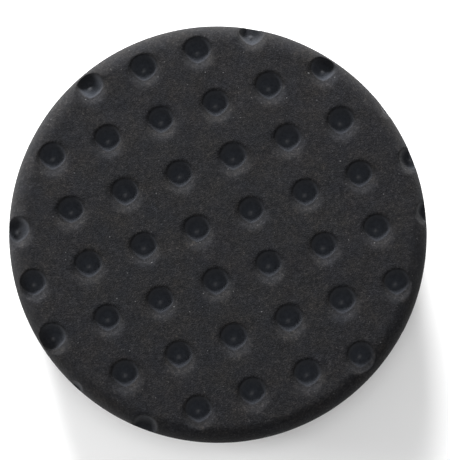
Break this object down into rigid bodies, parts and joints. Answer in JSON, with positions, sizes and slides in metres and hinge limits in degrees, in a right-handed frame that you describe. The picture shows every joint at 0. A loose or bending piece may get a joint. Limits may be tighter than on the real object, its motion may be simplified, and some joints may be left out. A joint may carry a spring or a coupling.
{
  "type": "polishing pad",
  "caption": "Round black foam polishing pad with a rounded rim, a square grid of heat-formed pockets in its face and a loop-fabric back for a hook-faced backing plate.",
  "frame": {"origin": "centre of the plane that the pile loops reach, where the backing plate takes hold", "axes": "+Z from the machine towards the work, out of the polishing face; X and Y lie in the disc, with the pocket grid turned 18.6 degrees from +X towards +Y"},
  "size_m": [0.165, 0.165, 0.032],
  "materials": {
    "foam": "matte fine-celled polyurethane foam, charcoal black",
    "bond_film": "set hot-melt adhesive film, milky amber",
    "loop_ground": "knitted nylon ground, dark grey",
    "loop_pile": "brushed nylon loops, grey"
  },
  "bodies": {
    "root": {"foam_disc": "foam", "bond_film": "bond_film", "loop_ground": "loop_ground", "loop_pile": "loop_pile"}
  },
  "joints": []
}
